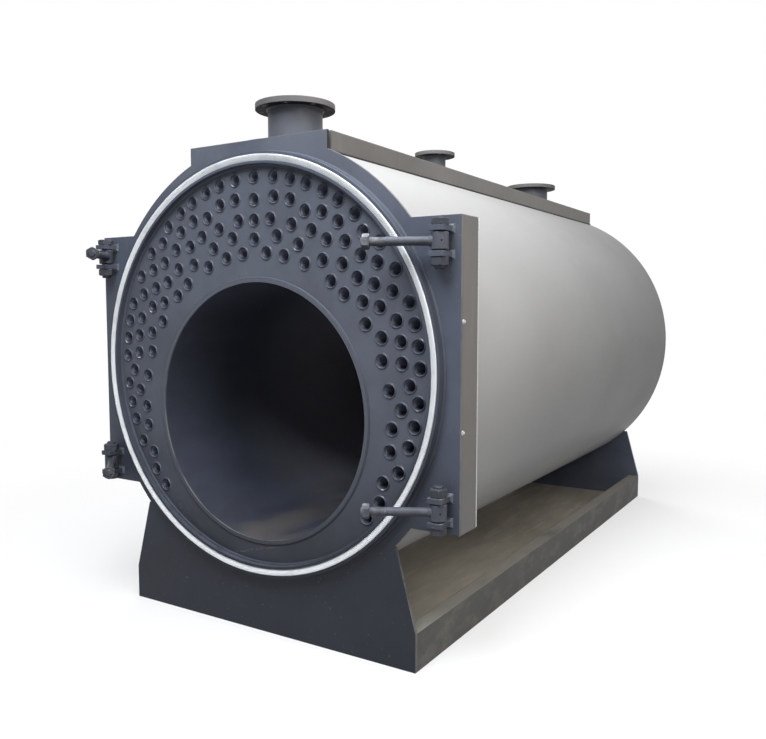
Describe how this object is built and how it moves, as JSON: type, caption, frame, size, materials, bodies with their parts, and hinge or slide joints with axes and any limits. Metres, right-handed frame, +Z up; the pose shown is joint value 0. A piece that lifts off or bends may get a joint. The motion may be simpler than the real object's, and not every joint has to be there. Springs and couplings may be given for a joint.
{
  "type": "industrial boiler",
  "caption": "Horizontal fire-tube hot-water boiler with its front door off: tube sheet, open furnace mouth, silver jacket, flanged nozzles and swing bolts on a base frame.",
  "frame": {"origin": "on the floor, in the middle of the base frame", "axes": "+X to the right as seen from the front, +Y to the back along the boiler, +Z up"},
  "size_m": [1.736, 3.4419, 2.08],
  "materials": {
    "plate_paint": "dark blue-grey satin paint, dusty",
    "shell_paint": "dark blue-grey satin paint",
    "tube_sheet": "dark blue-grey paint, tube ends darker",
    "furnace": "dark bare plate, dust and light rust at the bottom",
    "rope": "white braided fibre rope",
    "jacket": "smooth silver sheet",
    "cover_paint": "warm grey paint on folded sheet",
    "base_paint": "dark grey paint, dusty",
    "floor_sheet": "brown dusty sheet",
    "lug_paint": "dark blue-grey paint, rubbed edges",
    "bolt_steel": "dark paint over steel, rubbed bright at the nut",
    "bare_steel": "dark grey paint"
  },
  "bodies": {
    "boiler": {"front_plate": "plate_paint", "rear_plate": "plate_paint", "flue_spigot": "bare_steel", "boiler_shell": "shell_paint", "tube_bank": "tube_sheet", "furnace_tube": "furnace", "furnace_end": "furnace", "door_gasket": "rope", "seat_ring": "plate_paint", "jacket_left": "jacket", "jacket_right": "jacket", "ear_box_left": "cover_paint", "ear_box_right": "cover_paint", "top_cover": "cover_paint", "flow_nozzle": "plate_paint", "flow_flange": "plate_paint", "safety_nozzle": "plate_paint", "safety_flange": "plate_paint", "return_nozzle": "plate_paint", "return_flange": "plate_paint", "base_channel_left": "base_paint", "base_channel_right": "base_paint", "base_floor": "floor_sheet", "lug_upper_right": "lug_paint", "lug_lower_right": "lug_paint", "lug_upper_left": "lug_paint", "lug_lower_left": "lug_paint", "pin_upper_right": "lug_paint", "pin_lower_right": "lug_paint", "pin_upper_left": "lug_paint", "pin_lower_left": "lug_paint"},
    "bolt_upper_right": {"swing_bolt_upper_right": "bolt_steel", "swing_nut_upper_right": "bolt_steel"},
    "bolt_lower_right": {"swing_bolt_lower_right": "bolt_steel", "swing_nut_lower_right": "bolt_steel"},
    "bolt_upper_left": {"swing_bolt_upper_left": "bolt_steel", "swing_nut_upper_left": "bolt_steel"},
    "bolt_lower_left": {"swing_bolt_lower_left": "bolt_steel", "swing_nut_lower_left": "bolt_steel"}
  },
  "joints": [
    {"name": "upper_right_swing", "type": "hinge", "parent": "boiler", "child": "bolt_upper_right", "pos_m": [0.81, -1.56, 1.488], "axis": [0, 0, 1], "range_deg": [-15, 145]},
    {"name": "lower_right_swing", "type": "hinge", "parent": "boiler", "child": "bolt_lower_right", "pos_m": [0.81, -1.56, 0.598], "axis": [0, 0, 1], "range_deg": [-19, 141]},
    {"name": "upper_left_swing", "type": "hinge", "parent": "boiler", "child": "bolt_upper_left", "pos_m": [-0.81, -1.56, 1.488], "axis": [0, 0, 1], "range_deg": [-119, 41]},
    {"name": "lower_left_swing", "type": "hinge", "parent": "boiler", "child": "bolt_lower_left", "pos_m": [-0.81, -1.56, 0.598], "axis": [0, 0, 1], "range_deg": [-128, 32]}
  ]
}
